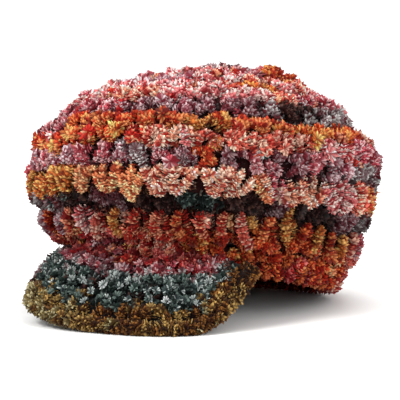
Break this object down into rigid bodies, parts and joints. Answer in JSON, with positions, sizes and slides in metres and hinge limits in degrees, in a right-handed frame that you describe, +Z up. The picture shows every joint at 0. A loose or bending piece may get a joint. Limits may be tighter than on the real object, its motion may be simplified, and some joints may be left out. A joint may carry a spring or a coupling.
{
  "type": "knit newsboy cap",
  "caption": "Puffed knit newsboy cap with a band round an open head hollow, a bent peak and an edging round the peak, lying as it rests.",
  "frame": {"origin": "middle of the cap's outline seen from above, on the surface that it lies on", "axes": "+Z up, -Y to the front, where the peak is, and +X to the wearer's left"},
  "size_m": [0.2472, 0.2984, 0.1768],
  "materials": {
    "crown_yarn": "chenille pile",
    "band_yarn": "chenille pile",
    "peak_yarn": "chenille pile",
    "edging_yarn": "chenille pile"
  },
  "bodies": {
    "root": {"crown": "crown_yarn", "band": "band_yarn", "peak": "peak_yarn", "peak_edging": "edging_yarn"}
  },
  "joints": []
}
